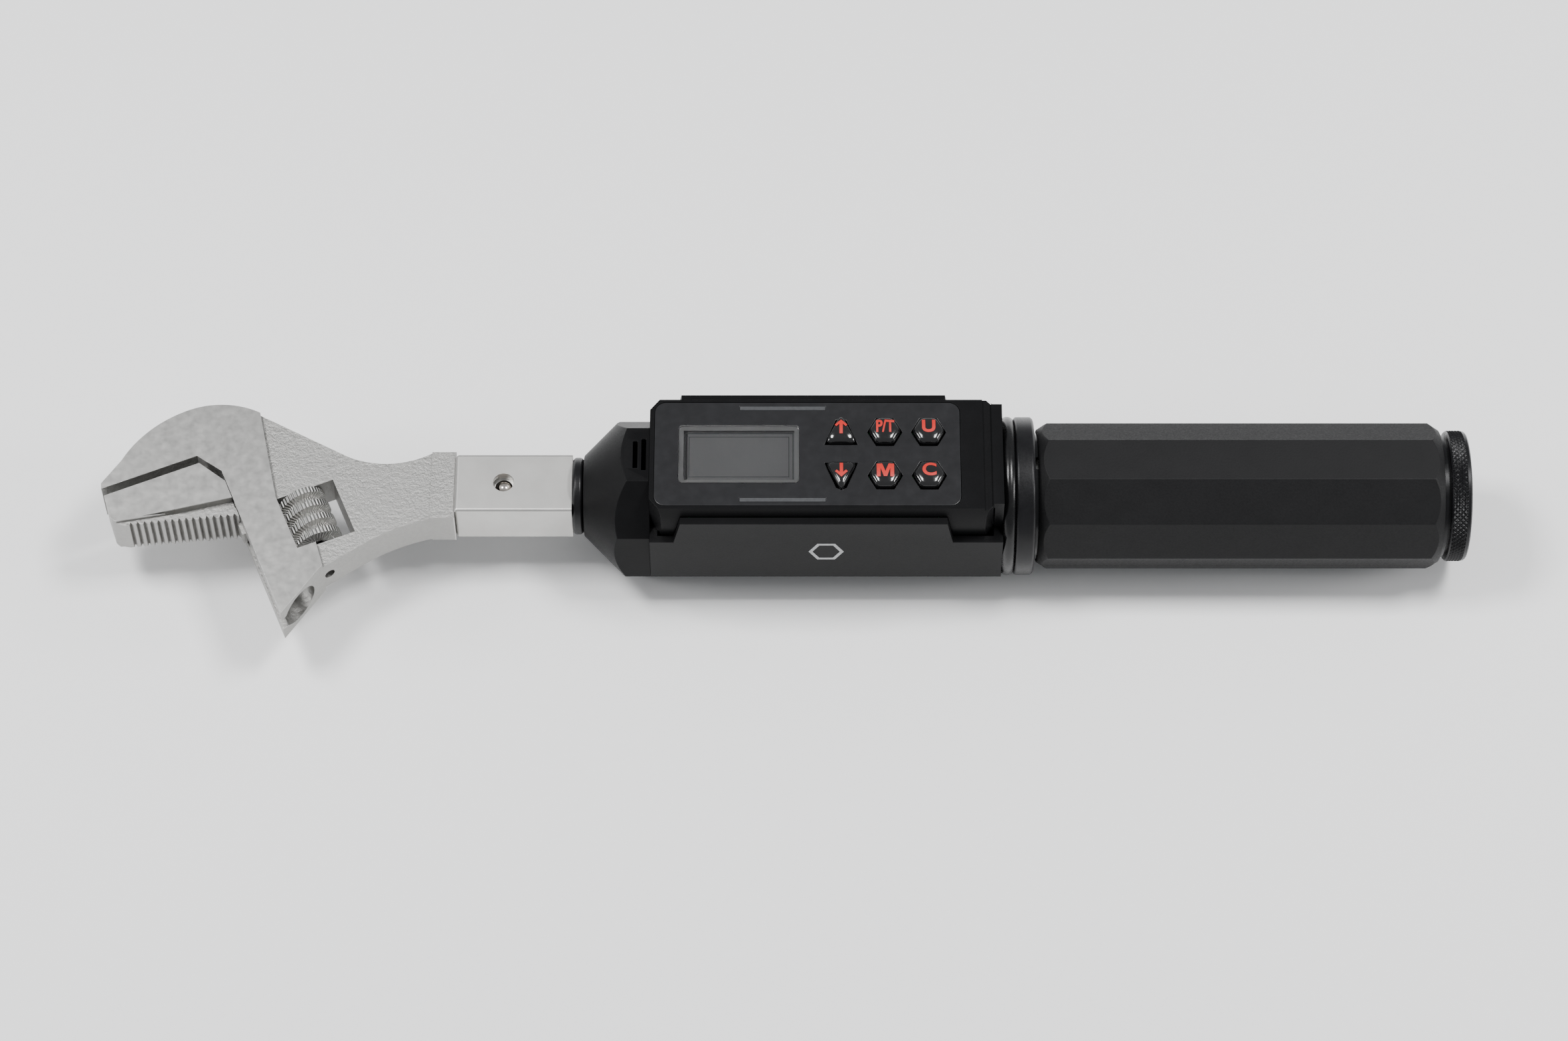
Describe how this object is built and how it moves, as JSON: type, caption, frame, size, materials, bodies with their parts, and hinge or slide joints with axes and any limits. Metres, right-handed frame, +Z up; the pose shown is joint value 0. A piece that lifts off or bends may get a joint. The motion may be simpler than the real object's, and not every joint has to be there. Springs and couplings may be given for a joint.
{
  "type": "digital torque wrench",
  "caption": "Digital torque wrench with a display housing, keys, ten-sided grip, screw battery cap and a plug-in adjustable open-end head.",
  "frame": {"origin": "on the tool's long axis at the mouth of the insert socket, where the head's shoulder seats", "axes": "+X along the handle to the battery cap, +Z up out of the display, +Y to the left hand when the display is read from above with the head to the left"},
  "size_m": [0.3899, 0.0692, 0.0484],
  "materials": {
    "satin_chrome": "satin chrome over forged steel",
    "polished_steel": "polished",
    "black_steel": "black oxide",
    "tool_steel": "ground",
    "black_abs": "fine moulded texture",
    "overlay_film": "smooth polyester film",
    "lcd_lens": "clear",
    "lcd_module": "grey reflective display",
    "light_pipe": "smoked",
    "key_plastic": "high gloss",
    "gloss_rubber": "smooth",
    "grip_rubber": "fine matte texture",
    "board": "solder mask",
    "gauge_film": "foil gauge",
    "cage_plastic": "moulded",
    "cell_wrap": "sleeved cells",
    "contact_brass": "plated"
  },
  "bodies": {
    "wrench": {"drive_receptacle": "satin_chrome", "neck_collar": "black_steel", "nose_cone": "black_abs", "load_beam": "tool_steel", "beam_pins": "tool_steel", "strain_gauges": "gauge_film", "beam_plug": "tool_steel", "upper_housing": "black_abs", "lower_housing": "black_abs", "housing_screws": "black_steel", "panel_overlay": "overlay_film", "lcd_window": "lcd_lens", "lcd_module": "lcd_module", "light_bars": "light_pipe", "circuit_board": "board", "indicator_leds": "light_pipe", "buzzer": "cage_plastic", "display_connector": "cage_plastic", "key_switches": "cage_plastic", "seal_ring": "gloss_rubber", "grip_collar": "black_steel", "grip": "grip_rubber", "handle_tube": "black_steel", "batteries": "cell_wrap", "battery_holder": "cage_plastic", "front_contacts": "contact_brass", "contact_board": "board"},
    "head": {"head_body": "satin_chrome", "worm_pin": "tool_steel", "worm_spring": "tool_steel", "detent_spring": "tool_steel"},
    "jaw": {"movable_jaw": "satin_chrome"},
    "worm": {"worm": "satin_chrome"},
    "ball": {"detent_ball": "polished_steel"},
    "cap_carrier": {"contact_plate": "contact_brass", "contact_spring": "tool_steel"},
    "cap": {"battery_cap": "black_steel", "cap_o_ring": "gloss_rubber"},
    "key_up": {"button_up": "key_plastic", "plunger_up": "cage_plastic"},
    "key_peak": {"button_peak": "key_plastic", "plunger_peak": "cage_plastic"},
    "key_unit": {"button_unit": "key_plastic", "plunger_unit": "cage_plastic"},
    "key_down": {"button_down": "key_plastic", "plunger_down": "cage_plastic"},
    "key_memory": {"button_memory": "key_plastic", "plunger_memory": "cage_plastic"},
    "key_clear": {"button_clear": "key_plastic", "plunger_clear": "cage_plastic"}
  },
  "joints": [
    {"name": "head_slide", "type": "slide", "parent": "wrench", "child": "head", "axis": [-1, 0, 0], "range_m": [0, 0.03]},
    {"name": "detent_press", "type": "slide", "parent": "head", "child": "ball", "axis": [0, 0, -1], "range_m": [0, 0.0013], "stiffness_N_per_m": 1500, "springref_m": -0.001, "deforming": ["detent_spring"]},
    {"name": "jaw_slide", "type": "slide", "parent": "head", "child": "jaw", "axis": [0.3827, -0.9239, 0], "range_m": [-0.0024, 0.0265]},
    {"name": "worm_spin", "type": "hinge", "parent": "head", "child": "worm", "pos_m": [-0.04177, -0.00961, 0], "axis": [0.3827, -0.9239, 0], "range_deg": [-2040, 190]},
    {"name": "cap_out", "type": "slide", "parent": "wrench", "child": "cap_carrier", "axis": [1, 0, 0], "range_m": [0, 0.012]},
    {"name": "cap_turn", "type": "hinge", "parent": "cap_carrier", "child": "cap", "pos_m": [0.283, 0, 0], "axis": [1, 0, 0], "range_deg": [0, 2890]},
    {"name": "press_up", "type": "slide", "parent": "wrench", "child": "key_up", "axis": [0, 0, -1], "range_m": [0, 0.0006], "stiffness_N_per_m": 450, "springref_m": -0.0015},
    {"name": "press_peak", "type": "slide", "parent": "wrench", "child": "key_peak", "axis": [0, 0, -1], "range_m": [0, 0.0006], "stiffness_N_per_m": 450, "springref_m": -0.0015},
    {"name": "press_unit", "type": "slide", "parent": "wrench", "child": "key_unit", "axis": [0, 0, -1], "range_m": [0, 0.0006], "stiffness_N_per_m": 450, "springref_m": -0.0015},
    {"name": "press_down", "type": "slide", "parent": "wrench", "child": "key_down", "axis": [0, 0, -1], "range_m": [0, 0.0006], "stiffness_N_per_m": 450, "springref_m": -0.0015},
    {"name": "press_memory", "type": "slide", "parent": "wrench", "child": "key_memory", "axis": [0, 0, -1], "range_m": [0, 0.0006], "stiffness_N_per_m": 450, "springref_m": -0.0015},
    {"name": "press_clear", "type": "slide", "parent": "wrench", "child": "key_clear", "axis": [0, 0, -1], "range_m": [0, 0.0006], "stiffness_N_per_m": 450, "springref_m": -0.0015}
  ],
  "couplings": [
    {"joint": "worm_spin", "follows": "jaw_slide", "rad_per_m": -1336.8},
    {"joint": "cap_turn", "follows": "cap_out", "rad_per_m": 4188.8}
  ]
}
